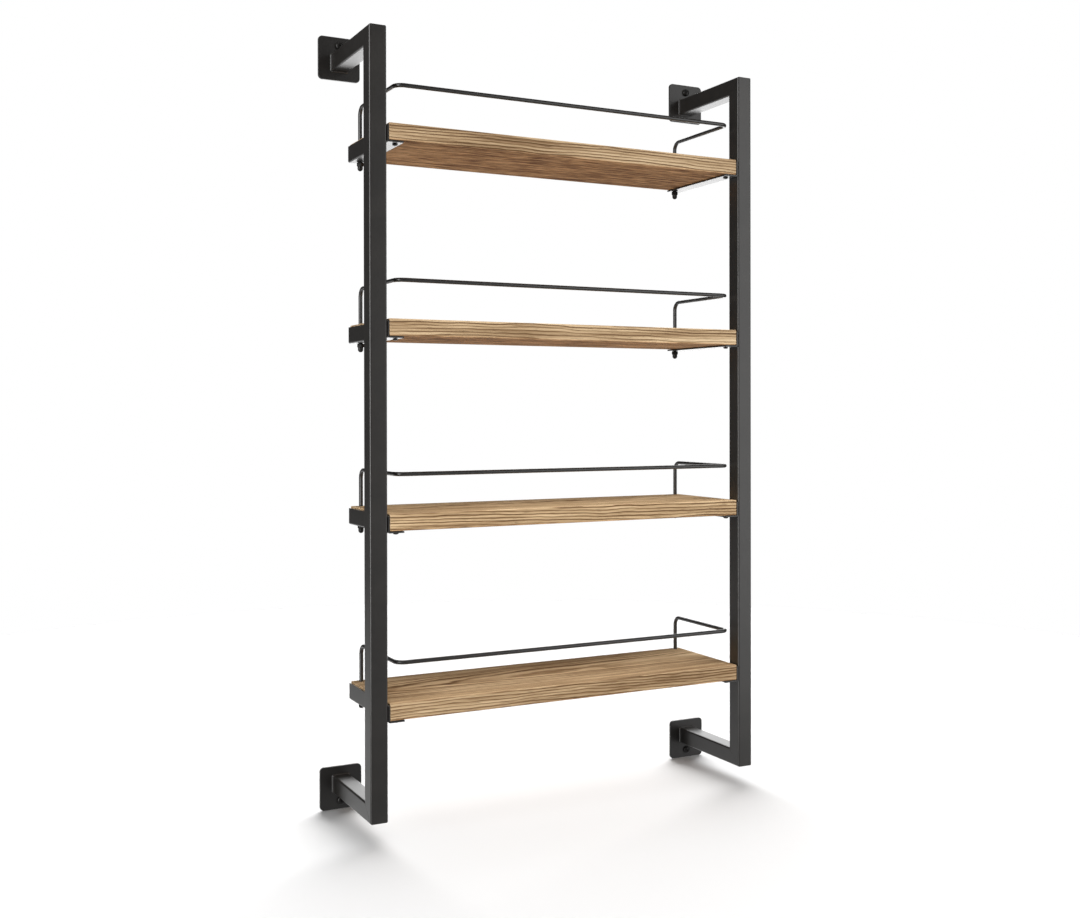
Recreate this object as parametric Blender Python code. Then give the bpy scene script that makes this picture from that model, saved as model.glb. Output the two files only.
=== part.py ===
"""Wall-hung spice rack: two welded square-tube side frames, four boards and four wire rails.

Metres, +Z up. The origin is on the wall plane, at the centre of the rack's back. The front
faces -Y and the wall is at Y = 0, so the rack reaches from Y = 0 to Y = -RACK_DEPTH, and only
the wall screws' shanks pass behind the wall plane.
"""

import math

import bmesh
import bpy
from mathutils import Vector

# Whole rack
RACK_WIDTH = 0.400            # over the outer faces of the two side frames
RACK_DEPTH = 0.1075           # from the wall to the front faces of the uprights
FRAME_HEIGHT = 0.685          # length of an upright
GAP = 0.0003                  # left between pieces that touch

# Square tube of the side frames
TUBE_SIZE = 0.016
TUBE_WALL = 0.0012
TUBE_CORNER = 0.0016

# Wall plates
PLATE_SIZE = 0.040
PLATE_THICKNESS = 0.0025
PLATE_CORNER = 0.004
PLATE_SHIFT = 0.004           # plate's centre beyond the arm's centre line, away from the rack's middle
PLATE_HOLE_OFFSET = 0.0122    # hole beyond the plate's centre, on the same side
PLATE_HOLE_RADIUS = 0.0023

# Shelf boards: heights of their top faces above the uprights' lower ends
SHELF_TOPS = {"top": 0.6025, "upper": 0.434, "lower": 0.2655, "bottom": 0.102}
BOARD_THICKNESS = 0.015
BOARD_DEPTH = 0.105

# Angle brackets under the boards
ANGLE_SIZE = 0.015
ANGLE_THICKNESS = 0.0015

# Guard rails of round wire
WIRE_RADIUS = 0.0019
THREAD_RADIUS = 0.0015
RAIL_HEIGHT = 0.034           # wire's centre above the board's top face
RAIL_SETBACK = 0.0035         # front wire's centre behind the uprights' front faces
RAIL_BEND = 0.008             # radius of each bend, to the wire's centre
POST_SETBACK = 0.0988         # rear posts' centres behind the uprights' front faces
FASTENER_INSET = 0.010        # posts and board screws from the uprights' inner faces

# Cap nuts on the posts
NUT_FLATS = 0.0055
NUT_HEX_HEIGHT = 0.0035
NUT_DOME_RADIUS = 0.0025
NUT_HEIGHT = 0.008
NUT_BORE_DEPTH = 0.0056

# Screws: share of the head's height that is a straight rim, and the point's length in shank radii
SCREW_RIM_SHARE = 0.3
SCREW_POINT_RATIO = 2.5

# Screws up into the boards
BOARD_SCREW_SETBACK = 0.0072  # behind the uprights' front faces
BOARD_SCREW_LENGTH = 0.012
BOARD_SCREW_HEAD = (0.0025, 0.0015)   # radius, height
BOARD_SCREW_RADIUS = 0.00125

# Screws into the wall
WALL_SCREW_LENGTH = 0.030
WALL_SCREW_HEAD = (0.0037, 0.0026)    # radius, height
WALL_SCREW_RADIUS = 0.0019

# Fineness of round shapes
ROUND_SIDES = 12
CORNER_STEPS = 3              # steps in a quarter turn of a tube's or an angle's corner
PLATE_CORNER_STEPS = 4
BEND_STEPS = 5
DOME_STEPS = 4
WIRE_BEVEL_RESOLUTION = 3
SHARP_ANGLE = math.radians(35)

# Places worked out from the dimensions above
FRONT_Y = -RACK_DEPTH
BASE_Z = -FRAME_HEIGHT / 2
ARM_X = (RACK_WIDTH - TUBE_SIZE) / 2
ARM_Z = (FRAME_HEIGHT - TUBE_SIZE) / 2
PLATE_Z = ARM_Z + PLATE_SHIFT
INNER_X = RACK_WIDTH / 2 - TUBE_SIZE
FASTENER_X = INNER_X - FASTENER_INSET
POST_Y = FRONT_Y + POST_SETBACK
BOARD_SCREW_Y = FRONT_Y + BOARD_SCREW_SETBACK
SIDES = {"left": -1, "right": 1}
ENDS = {"bottom": -1, "top": 1}


def clear_scene():
    for obj in list(bpy.data.objects):
        bpy.data.objects.remove(obj, do_unlink=True)


def make_material(name, colour, roughness, metallic=0.0):
    material = bpy.data.materials.new(name)
    material.use_nodes = True
    shader = material.node_tree.nodes["Principled BSDF"]
    shader.inputs["Base Color"].default_value = (*colour, 1.0)
    shader.inputs["Roughness"].default_value = roughness
    shader.inputs["Metallic"].default_value = metallic
    material.diffuse_color = (*colour, 1.0)
    return material


def circle(radius, z, sides=ROUND_SIDES):
    """Points of a circle about Z. A radius of zero gives one point."""
    if radius == 0:
        return [Vector((0, 0, z))]
    angles = [math.tau * i / sides for i in range(sides)]
    return [Vector((radius * math.cos(a), radius * math.sin(a), z)) for a in angles]


def hexagon(flats, z, sides=ROUND_SIDES):
    """A hexagon about Z with as many points as a circle, so that the two can be skinned."""
    points = []
    for i in range(sides):
        angle = math.tau * i / sides
        from_flat = (angle + math.pi / 6) % (math.pi / 3) - math.pi / 6
        radius = flats / 2 / math.cos(from_flat)
        points.append(Vector((radius * math.cos(angle), radius * math.sin(angle), z)))
    return points


def rounded_square(size, radius, steps=CORNER_STEPS):
    """(x, y) points of a square about the origin with round corners, anticlockwise."""
    points = []
    reach = size / 2 - radius
    for corner in range(4):
        start = math.pi / 2 * corner
        cx = reach * (1 if corner in (0, 3) else -1)
        cy = reach * (1 if corner in (0, 1) else -1)
        for i in range(steps + 1):
            angle = start + math.pi / 2 * i / steps
            points.append((cx + radius * math.cos(angle), cy + radius * math.sin(angle)))
    return points


def skin(name, rings, material, closed=False):
    """A mesh through rings of points. An open skin's end rings are filled; a closed one's meet."""
    bm = bmesh.new()
    loops = [[bm.verts.new(point) for point in ring] for ring in rings]
    pairs = list(zip(loops, loops[1:]))
    if closed:
        pairs.append((loops[-1], loops[0]))
    for first, second in pairs:
        count = max(len(first), len(second))
        for i in range(count):
            j = (i + 1) % count
            corners = (first[i % len(first)], first[j % len(first)],
                       second[j % len(second)], second[i % len(second)])
            bm.faces.new(list(dict.fromkeys(corners)))
    if not closed:
        for loop in (loops[0], loops[-1]):
            if len(loop) > 2:
                bm.faces.new(loop)
    bmesh.ops.recalc_face_normals(bm, faces=bm.faces)
    mesh = bpy.data.meshes.new(name)
    bm.to_mesh(mesh)
    bm.free()
    mesh.materials.append(material)
    mesh.shade_smooth()
    mesh.set_sharp_from_angle(angle=SHARP_ANGLE)
    return mesh


def prism(name, outline, z0, z1, material):
    """A straight extrusion along Z of (x, y) points."""
    return skin(name, [[Vector((x, y, z)) for x, y in outline] for z in (z0, z1)], material)


def place(name, data, location=(0, 0, 0), rotation=(0, 0, 0), parent=None):
    obj = bpy.data.objects.new(name, data)
    bpy.context.scene.collection.objects.link(obj)
    obj.location = location
    obj.rotation_euler = [math.radians(angle) for angle in rotation]
    obj.parent = parent
    return obj


def drill(target, frame, holes):
    """Cut holes along Z of an object's frame: each is (x, y, z0, z1, radius) in that frame."""
    bm = bmesh.new()
    for x, y, z0, z1, radius in holes:
        loops = [[bm.verts.new(point + Vector((x, y, 0))) for point in circle(radius, z)]
                 for z in (z0, z1)]
        for i in range(ROUND_SIDES):
            j = (i + 1) % ROUND_SIDES
            bm.faces.new((loops[0][i], loops[0][j], loops[1][j], loops[1][i]))
        for loop in loops:
            bm.faces.new(loop)
    bmesh.ops.recalc_face_normals(bm, faces=bm.faces)
    mesh = bpy.data.meshes.new(f"cutter_{target.name}")
    bm.to_mesh(mesh)
    bm.free()
    cutter = place(mesh.name, mesh, parent=frame)
    cutter.hide_render = True
    cutter.display_type = "WIRE"
    modifier = target.modifiers.new("holes", "BOOLEAN")
    modifier.operation = "DIFFERENCE"
    modifier.solver = "EXACT"
    modifier.object = cutter


def square_tube(name, length, end_is_mitred, material):
    """Hollow tube along +Z. A mitred end is cut at 45 degrees and is longest at -Y."""
    end_slope = -1 if end_is_mitred else 0
    outer = rounded_square(TUBE_SIZE, TUBE_CORNER)
    inner = rounded_square(TUBE_SIZE - 2 * TUBE_WALL, TUBE_CORNER - TUBE_WALL)

    def ring(outline, z, slope):
        return [Vector((x, y, z + slope * (y + TUBE_SIZE / 2))) for x, y in outline]

    rings = [ring(outer, 0, 1), ring(outer, length, end_slope),
             ring(inner, length, end_slope), ring(inner, 0, 1)]
    return skin(name, rings, material, closed=True)


def build_side_frames(rack, paint):
    """Uprights, arms and wall plates. Each mitre face stands back by half of the gap."""
    mitre_room = GAP / math.sqrt(2)
    upright = square_tube("upright", FRAME_HEIGHT - 2 * mitre_room, True, paint)
    arm_length = RACK_DEPTH - PLATE_THICKNESS - GAP - mitre_room
    arm = square_tube("arm", arm_length, False, paint)
    plate = prism("wall_plate", rounded_square(PLATE_SIZE, PLATE_CORNER, PLATE_CORNER_STEPS),
                  0, PLATE_THICKNESS, paint)
    for side, x_sign in SIDES.items():
        x = x_sign * ARM_X
        place(f"{side}_upright", upright,
              (x, FRONT_Y + TUBE_SIZE / 2, BASE_Z + mitre_room), parent=rack)
        for end, z_sign in ENDS.items():
            turn = (-90, 0 if z_sign > 0 else 180, 0)
            place(f"{side}_{end}_arm", arm, (x, FRONT_Y + mitre_room, z_sign * ARM_Z), turn, rack)
            wall_plate = place(f"{side}_{end}_wall_plate", plate,
                               (x, -PLATE_THICKNESS, z_sign * PLATE_Z), (-90, 0, 0), rack)
            drill(wall_plate, wall_plate, [(0, -z_sign * PLATE_HOLE_OFFSET, -PLATE_THICKNESS,
                                            2 * PLATE_THICKNESS, PLATE_HOLE_RADIUS)])


def quarter_turn(steps):
    """Angles from 0 to 90 degrees."""
    return [math.pi / 2 * i / steps for i in range(steps + 1)]


def pan_head_screw(name, head, shank_radius, length, material):
    """A domed head below Z = 0 and a pointed shank of the given length above it."""
    head_radius, head_height = head
    rim_height = SCREW_RIM_SHARE * head_height
    dome = [(head_radius * math.sin(a), -rim_height - (head_height - rim_height) * math.cos(a))
            for a in quarter_turn(DOME_STEPS)]
    point_start = length - SCREW_POINT_RATIO * shank_radius
    profile = dome + [(head_radius, 0), (shank_radius, 0), (shank_radius, point_start),
                      (0, length)]
    return skin(name, [circle(radius, z) for radius, z in profile], material)


def build_wall_screws(rack, steel):
    screw = pan_head_screw("wall_screw", WALL_SCREW_HEAD, WALL_SCREW_RADIUS,
                           WALL_SCREW_LENGTH, steel)
    for side, x_sign in SIDES.items():
        for end, z_sign in ENDS.items():
            hole_z = z_sign * (PLATE_Z + PLATE_HOLE_OFFSET)
            place(f"{side}_{end}_wall_screw", screw,
                  (x_sign * ARM_X, -PLATE_THICKNESS - GAP, hole_z), (-90, 0, 0), rack)


def angle_section():
    """(x, y) outline of the angle: leg along +y at x = 0, flange along +x at y = 0."""
    reach, wall = ANGLE_SIZE, ANGLE_THICKNESS
    heel = [(wall - wall * math.cos(a), wall - wall * math.sin(a))
            for a in quarter_turn(CORNER_STEPS)]
    return heel + [(reach, 0), (reach, wall), (wall, wall), (wall, reach), (0, reach)]


def bend(centre, start, end):
    """Points of a quarter circle about centre, turning from the direction start to end."""
    return [centre + RAIL_BEND * (start * math.cos(a) + end * math.sin(a))
            for a in quarter_turn(BEND_STEPS)]


def guard_rail(name, post_foot, thread_foot, material):
    """One bent wire about the shelf top at Z = 0: posts, sides and front, with threaded ends."""
    across, back, up = Vector((1, 0, 0)), Vector((0, 1, 0)), Vector((0, 0, 1))
    front_corner = Vector((FASTENER_X - RAIL_BEND, FRONT_Y + RAIL_SETBACK + RAIL_BEND, RAIL_HEIGHT))
    rear_corner = Vector((FASTENER_X, POST_Y - RAIL_BEND, RAIL_HEIGHT - RAIL_BEND))
    shoulder = post_foot - (WIRE_RADIUS - THREAD_RADIUS)
    right_half = bend(front_corner, -back, across) + bend(rear_corner, up, back)
    right_half += [Vector((FASTENER_X, POST_Y, z)) for z in (post_foot, shoulder, thread_foot)]
    left_half = [Vector((-point.x, point.y, point.z)) for point in reversed(right_half)]
    points = left_half + right_half

    curve = bpy.data.curves.new(name, "CURVE")
    curve.dimensions = "3D"
    curve.bevel_depth = WIRE_RADIUS
    curve.bevel_resolution = WIRE_BEVEL_RESOLUTION
    curve.use_fill_caps = True
    spline = curve.splines.new("POLY")
    spline.points.add(len(points) - 1)
    for knot, point in zip(spline.points, points):
        knot.co = (*point, 1)
        if point.z < post_foot:
            knot.radius = THREAD_RADIUS / WIRE_RADIUS
    curve.materials.append(material)
    return curve


def cap_nut(name, bore_radius, material):
    """A hexagon with a round dome below it and a blind bore from its top face at Z = 0."""
    flat_end = NUT_HEIGHT - NUT_DOME_RADIUS
    dome = [(NUT_DOME_RADIUS * math.cos(a), -flat_end - NUT_DOME_RADIUS * math.sin(a))
            for a in quarter_turn(DOME_STEPS)[:-1]]
    rings = [circle(0, -NUT_BORE_DEPTH), circle(bore_radius, -NUT_BORE_DEPTH),
             circle(bore_radius, 0), hexagon(NUT_FLATS, 0), hexagon(NUT_FLATS, -NUT_HEX_HEIGHT),
             circle(NUT_DOME_RADIUS, -NUT_HEX_HEIGHT)]
    rings += [circle(radius, z) for radius, z in dome]
    rings.append(circle(0, -NUT_HEIGHT))
    return skin(name, rings, material)


def build_shelves(rack, paint, wood, wire, steel):
    """Four shelves: board, two brackets, guard rail, two cap nuts and two board screws each."""
    leg_x = INNER_X - GAP
    board_end = leg_x - ANGLE_THICKNESS - GAP
    board_back = FRONT_Y + BOARD_DEPTH
    board_outline = [(-board_end, FRONT_Y), (board_end, FRONT_Y),
                     (board_end, board_back), (-board_end, board_back)]
    # Heights below are measured from the board's top face, where each shelf's empty stands.
    flange_top = -BOARD_THICKNESS - GAP
    flange_bottom = flange_top - ANGLE_THICKNESS
    nut_top = flange_bottom - GAP
    hole_start = 2 * flange_bottom
    thread_hole = THREAD_RADIUS + GAP
    screw_hole = BOARD_SCREW_RADIUS + GAP

    board = prism("board", board_outline, -BOARD_THICKNESS, 0, wood)
    angle = prism("bracket", angle_section(), -BOARD_DEPTH / 2, BOARD_DEPTH / 2, paint)
    rail = guard_rail("guard_rail", flange_top + GAP, nut_top - NUT_BORE_DEPTH + 2 * GAP, wire)
    nut = cap_nut("cap_nut", thread_hole, steel)
    screw = pan_head_screw("shelf_screw", BOARD_SCREW_HEAD, BOARD_SCREW_RADIUS,
                           BOARD_SCREW_LENGTH, steel)

    for shelf, height in SHELF_TOPS.items():
        top = place(f"{shelf}_shelf", None, (0, 0, BASE_Z + height), parent=rack)
        shelf_board = place(f"{shelf}_shelf_board", board, parent=top)
        place(f"{shelf}_shelf_guard_rail", rail, parent=top)
        board_holes = []
        for side, x_sign in SIDES.items():
            post = (x_sign * FASTENER_X, POST_Y)
            screw_place = (x_sign * FASTENER_X, BOARD_SCREW_Y)
            board_holes.append((*post, hole_start, BOARD_THICKNESS, WIRE_RADIUS + GAP))
            board_holes.append((*screw_place, hole_start, nut_top + BOARD_SCREW_LENGTH + GAP,
                                screw_hole))
            bracket = place(f"{shelf}_shelf_{side}_bracket", angle,
                            (x_sign * leg_x, FRONT_Y + BOARD_DEPTH / 2, flange_bottom),
                            (90, 0, 0 if x_sign < 0 else 180), top)
            drill(bracket, top, [(*post, hole_start, 0, thread_hole),
                                 (*screw_place, hole_start, 0, screw_hole)])
            place(f"{shelf}_shelf_{side}_cap_nut", nut, (*post, nut_top), parent=top)
            place(f"{shelf}_shelf_{side}_screw", screw, (*screw_place, nut_top), parent=top)
        drill(shelf_board, top, board_holes)


def main():
    clear_scene()
    paint = make_material("black_paint", (0.022, 0.021, 0.020), 0.42)
    wire = make_material("black_wire", (0.020, 0.020, 0.020), 0.38)
    steel = make_material("black_fastener", (0.018, 0.018, 0.018), 0.35, 0.6)
    wood = make_material("brown_wood", (0.52, 0.33, 0.18), 0.6)
    rack = place("spice_rack", None)
    build_side_frames(rack, paint)
    build_wall_screws(rack, steel)
    build_shelves(rack, paint, wood, wire, steel)


main()
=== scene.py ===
"""Wall-hung spice rack: the finished look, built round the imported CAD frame.

Metres, +Z up, the front faces -Y and the wall plane is at Y = 0. Every piece takes its place and
its main sizes from the boxes of the CAD nodes.
"""

import math

import bmesh
import bpy
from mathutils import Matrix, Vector, noise


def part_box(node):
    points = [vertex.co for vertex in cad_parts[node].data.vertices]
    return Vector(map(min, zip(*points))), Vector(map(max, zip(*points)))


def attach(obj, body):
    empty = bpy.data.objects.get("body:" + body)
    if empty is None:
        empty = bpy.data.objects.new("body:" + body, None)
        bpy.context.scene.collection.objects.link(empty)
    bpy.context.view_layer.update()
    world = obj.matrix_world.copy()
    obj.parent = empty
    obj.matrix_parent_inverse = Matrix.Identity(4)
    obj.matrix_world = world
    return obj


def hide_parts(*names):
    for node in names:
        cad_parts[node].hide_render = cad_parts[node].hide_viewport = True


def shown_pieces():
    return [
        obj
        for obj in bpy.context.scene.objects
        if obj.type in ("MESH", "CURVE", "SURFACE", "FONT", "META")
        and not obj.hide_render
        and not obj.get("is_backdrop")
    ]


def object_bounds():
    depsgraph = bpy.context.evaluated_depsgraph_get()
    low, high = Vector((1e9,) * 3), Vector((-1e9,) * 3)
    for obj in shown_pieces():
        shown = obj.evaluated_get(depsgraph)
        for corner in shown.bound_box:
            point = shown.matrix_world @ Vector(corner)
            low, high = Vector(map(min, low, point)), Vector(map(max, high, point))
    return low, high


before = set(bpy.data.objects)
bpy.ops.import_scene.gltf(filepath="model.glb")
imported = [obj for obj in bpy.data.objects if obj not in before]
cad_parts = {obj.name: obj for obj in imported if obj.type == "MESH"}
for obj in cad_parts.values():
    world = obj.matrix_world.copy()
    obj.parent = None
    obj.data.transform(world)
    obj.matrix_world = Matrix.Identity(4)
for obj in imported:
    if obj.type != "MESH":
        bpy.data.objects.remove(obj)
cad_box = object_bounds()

SIDES = {"left": -1, "right": 1}
ENDS = {"bottom": -1, "top": 1}
SHELVES = ("top", "upper", "lower", "bottom")

# Meshing
SHARP_ANGLE = 35              # degrees between faces beyond which an edge stays sharp
WELD_SHARP_ANGLE = 60
BEVEL_ANGLE = 40
BEVEL_SEGMENTS = 2
EASE_STEPS = 3                # facets that round off an edge
HOLE_SIDES = 24
HOLE_OVERRUN = 0.002          # how far a hole's cutter starts outside the face

# Square tubes
TUBE_WALL = 0.0012
TUBE_CORNER = 0.0016
MITRE_EASE = 0.0003
CORNER_STEPS = 8

# Welds
PLATE_WELD = 0.0009           # legs of the fillet between arm and wall plate
CORNER_WELD = 0.0009          # legs of the fillet inside a mitred corner
SEAM_RADIUS = 0.0004          # weld along a mitre, dressed flush
BRACKET_WELD = 0.0009         # radius of the bead behind each bracket's joint
BRACKET_WELD_INSET = 0.001    # from the bracket's lower and upper edges
BRACKET_WELD_SINK = 0.4       # its centre inside the upright's face, in radii
BRACKET_WELD_BACK = 0.1       # its centre behind the upright's rear face, in radii
RIPPLE_PITCH = 0.0013
RIPPLE_HEIGHT = 0.09          # share of the bead's size
RIPPLE_LAG = 1.6              # radians by which a ripple's middle trails its ends
BEAD_STEPS = 6
BEAD_ROOT = 0.15              # how deep a fillet sits in its corner, in legs
BEAD_CROWN = 0.16             # how far a fillet's face swells, in legs
SEAM_SIDES = 12               # sides of a mitre's seam and of a bracket's bead
BEAD_ROUNDING = 6             # a straight bead's ends round off over this fraction of its length
PLATE_WELD_CUTS = 36          # divisions along each side of a tube
CORNER_WELD_CUTS = 60

# Wall plates
PLATE_CORNER = 0.004
PLATE_HOLE_RADIUS = 0.0023
PLATE_EASE = 0.0004
PLATE_CUTS = 14               # pieces that each straight edge is divided into

# Brackets
ANGLE_THICKNESS = 0.0015
ANGLE_EASE = 0.00025
ANGLE_ROOT = 0.0008           # radius inside the angle
HEEL_STEPS = 8
ROOT_STEPS = 6
THREAD_HOLE = 0.0018
SCREW_HOLE = 0.0015

# Boards
BOARD_EASE = 0.0007
BOARD_CUTS = 90               # divisions along a board
BOARD_FACE_CUTS = 28          # divisions across its wide faces
BOARD_EDGE_CUTS = 5           # divisions up its narrow faces
BOARD_UNEVEN = 0.00007        # how far the sawn faces wander
BOARD_WAVES = (14, 30, 30)    # how quickly they wander, per metre
BOARD_NOISE_STEP = 9.1        # sets the boards' wander apart
POST_HOLE = 0.0022

# Guard rails
WIRE_RADIUS = 0.0019
THREAD_RADIUS = 0.0015
THREAD_PITCH = 0.0005
THREAD_DEPTH = 0.0003
RAIL_BEND = 0.008
BEND_STEPS = 14
WIRE_SIDES = 24
SHOULDER_HEIGHT = 0.0002      # last full ring of the wire above its thread
THREAD_TIP = 0.0004           # chamfer at the thread's end
THREAD_STEPS = 6              # rings in one turn of a thread

# Cap nuts
NUT_FLATS = 0.0055
NUT_HEX_HEIGHT = 0.0035
NUT_DOME_RADIUS = 0.0025
NUT_BORE_DEPTH = 0.0056
NUT_BORE_RADIUS = 0.0018
NUT_CHAMFER = 0.00045
NUT_CHAMFER_STEPS = [(1.0, 0.0), (0.6, 0.4), (0.25, 0.75), (0.0, 1.0)]
NUT_FACE_INSET = 0.0001       # top face inside the flats
NUT_MOUTH = 0.0004            # countersink of the bore
NUT_THREAD_DEPTH = 0.0002
NUT_NECK = 0.0003             # radius between hexagon and dome
NECK_STEPS = 3
NUT_SIDES = 48

# Screws: head radius and height, shank radius, thread pitch
WALL_SCREW = (0.0037, 0.0026, 0.0019, 0.0016)
SHELF_SCREW = (0.0025, 0.0015, 0.00125, 0.0009)
SCREW_SIDES = 32
SCREW_RIM_SHARE = 0.3         # of the head's height
SCREW_SOFT_SHARE = 0.06       # rounding under the head, in head radii
SCREW_NECK = (0.8, 0.4)       # radius in shank radii, and length in pitches
SCREW_THREAD_START = 0.6      # pitches below the head
SCREW_CORE = 0.72             # thread's root in shank radii
SCREW_POINT_RATIO = 2.5       # point's length in shank radii
SCREW_POINT_STEPS = (0.9, 0.6, 0.3)
DOME_STEPS = 10
CROSS_DEPTH = 0.55            # of the head's height
CROSS_MOUTH = (0.52, 0.12)    # reach and half width of the cross's arms, in head radii,
CROSS_TOP = (0.46, 0.11)      # above the head, at its top
CROSS_END = (0.18, 0.07)      # and at the bottom of the recess
CROSS_OVERRUN = 0.001
THREAD_FADE = 8               # a thread fades in and out over this fraction of its length

# Camera
CAMERA_AT = (-0.56235, -1.13403, 0.01107)
CAMERA_TURN = (89.7425, 0.0957, -27.108)
CAMERA_LENS = 42.147
CAMERA_SENSOR = 36.0
CAMERA_SHIFT_Y = -0.0388

# Floor
FLOOR_RADIUS = 1.2
FLOOR_SIDES = 96
FLOOR_DROP = 0.0003           # below the lowest point of the rack
FLOOR_COLOUR = (0.88, 0.88, 0.88, 1.0)
FLOOR_ROUGHNESS = 0.9

# Lights of the rack: name, kind, place, strength, size (metres, or a sun's width in degrees),
# and which pieces they light. Lights of the floor: place, strength and width.
LIGHT_AIM = (0, -0.05, 0)
RACK_LIGHTS = [("overhead_sun", "SUN", (0.25, -0.85, 1.75), 3.3, 48, "rack"),
               ("left_softbox", "AREA", (-2.1, -0.85, 0.35), 41.5, (1.7, 2.3), "rack"),
               ("right_softbox", "AREA", (1.53, -1.90, 0.25), 13.3, (1.55, 2.1), "rack"),
               ("back_softbox", "AREA", (1.25, 2.17, 0.3), 27.0, (1.7, 2.8), "metal")]
FLOOR_KEY = ((0.60, 1.0, 0.85), 4.55, 56)
FLOOR_FILL = ((0, 0, 1.0), 1.05, 62)

# Room light by height of direction: dark above, pale ground below
ROOM_LIGHT = 0.06
FRONT_GROUND = 0.32
BACK_GROUND = 0.60
GROUND_FROM = -0.12
GROUND_FULL = -0.27
FRONT_TO_BACK = (-0.8, 0.8)   # Y of the directions that see the front ground and the back ground
WHITE = (1.0, 1.0, 1.0, 1.0)

# Black coats: darkest and lightest colour, roughness, size and depth of the orange peel
FRAME_COAT = ((0.0110, 0.0092, 0.0076), (0.0165, 0.0142, 0.0120), 0.42, 0.0011, 0.00002)
# Wall plates: a darker copy of the frame's coat, as painted shade where the plates sit against the
# wall behind the frame
PLATE_SHADED_COAT = ((0.0080, 0.0068, 0.0058), (0.0120, 0.0104, 0.0090), 0.44, 0.0011, 0.00002)
WIRE_COAT = ((0.0100, 0.0090, 0.0080), (0.0160, 0.0145, 0.0130), 0.36, 0.0008, 0.000015)
FASTENER_COAT = ((0.012, 0.011, 0.010), (0.022, 0.021, 0.020), 0.32, 0.0006, 0.00001)
# Painted highlight: the rounded edges of the steel are given this lighter colour
STEEL_EDGE_HIGHLIGHT = (0.040, 0.038, 0.036)
MOTTLE = (60.0, 3.0, 0.5)     # noises: scale, detail and roughness
MOTTLE_STOPS = (0.35, 0.68)
HAZE = (18.0, 4.0, 0.6)
HAZE_SWING = 0.06             # how far the roughness varies to each side
PEEL = (2.0, 0.45)            # detail and roughness alone, as each coat has its own scale
STEEL_HIGHLIGHT_AMOUNT = (0.2, 1.0)        # least and most painted highlight on an edge
WOOD_HIGHLIGHT_AMOUNT = (0.1, 0.5)
HIGHLIGHT_NOISE_RANGE = (0.3, 0.7)        # part of a noise over which the painted highlight goes from least to most
EDGE_GLOSS = 0.10              # how much smoother a rounded edge is
EDGE_FROM, EDGE_TO = 0.75, 0.98

# Wood: the tree's pith lies beside and below each board
PITH_BACK = 0.020
PITH_BELOW = 0.060
RING_SPACING = 0.0018
RING_WANDER = 0.011
RING_FLOW = 0.0019
WOOD_STOPS = [(0.08, (0.90, 0.685, 0.440)), (0.36, (0.61, 0.425, 0.250)),
              (0.62, (0.31, 0.188, 0.096)), (0.90, (0.13, 0.070, 0.033))]
UNDERSIDE_TOP = -0.0060       # each board's underside, below this height, is tinted redder and darker: painted shade
UNDERSIDE_FULL = -0.0073
# Painted shade: the underside's colour is multiplied by this
UNDERSIDE_SHADE_COLOUR = (1.0, 0.77, 0.60, 1.0)
RING_PROFILE = [(0.0, (0.0,) * 3), (0.45, (0.04,) * 3), (0.72, (0.55,) * 3),
                (0.85, (1.0,) * 3), (1.0, (0.0,) * 3)]
RING_TONE = 0.52              # how dark the late wood is
UNDERSIDE_RING_TONE = 0.24
BASE_TONE = 0.04
RING_VARIETY = (0.73, 1.0, 0.5)   # noise that makes some rings stronger
RING_VARIETY_STEP = 1.7       # sets the boards' strong rings apart
RING_STRENGTH = (0.35, 1.45)  # of the faintest and the strongest ring
RING_STRENGTH_RANGE = (0.30, 0.70)
GRAIN_TURNS = ((-5.0, 2.0), (-1.0, 0.5), (1.4, -0.7))   # degrees, and their step to each board
GRAIN_SHIFTS = (0.61, 0.003, -0.002)                    # step to each board
# Noises: scales along, across and up the board, then detail and roughness
WANDER = ((3.2, 16.0, 16.0), 3.0, 0.5)
FLOW = ((26.0, 95.0, 95.0), 2.0, 0.5)
STREAK = ((4.0, 110.0, 160.0), 4.0, 0.6)
FIBRE = ((14.0, 700.0, 700.0), 4.0, 0.7)
CLOUD = ((5.0, 20.0, 20.0), 2.0, 0.5)
FLECK = ((42.0, 380.0, 380.0), 3.0, 0.6)
PORES = ((70.0, 1700.0, 1700.0), 1.0, 0.5)
STREAK_TONE, FIBRE_TONE, CLOUD_TONE, FLECK_TONE = 0.27, 0.24, 0.16, 0.34
NOISE_RANGE = (0.34, 0.66)    # the middle of a noise, stretched to its full tone
PORE_RANGE = (0.64, 0.74)
PORE_STRENGTH = 0.5
PORE_COLOUR = (0.11, 0.05, 0.02, 1.0)
# Painted highlight: the boards' rounded edges are given this paler colour
WOOD_EDGE_HIGHLIGHT = (0.70, 0.54, 0.36, 1.0)
RING_RELIEF = -0.8            # heights of the rings and fibres, in depths of a pore
FIBRE_RELIEF = 0.7
GRAIN_DEPTH = 0.0002
GRAIN_BUMP = 0.8
WOOD_ROUGHNESS = (0.55, 0.75)
WOOD_SPECULAR = 0.12
TINTS = {"top": (0.94, 0.95, 0.95), "upper": (1.14, 1.18, 1.20), "lower": (1.12, 1.13, 1.10),
         "bottom": (0.97, 0.97, 0.95)}


# ------------------------------------------------------------------ geometry

def quarter_turn(steps):
    """Angles from 0 to 90 degrees."""
    return [math.pi / 2 * i / steps for i in range(steps + 1)]


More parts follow.
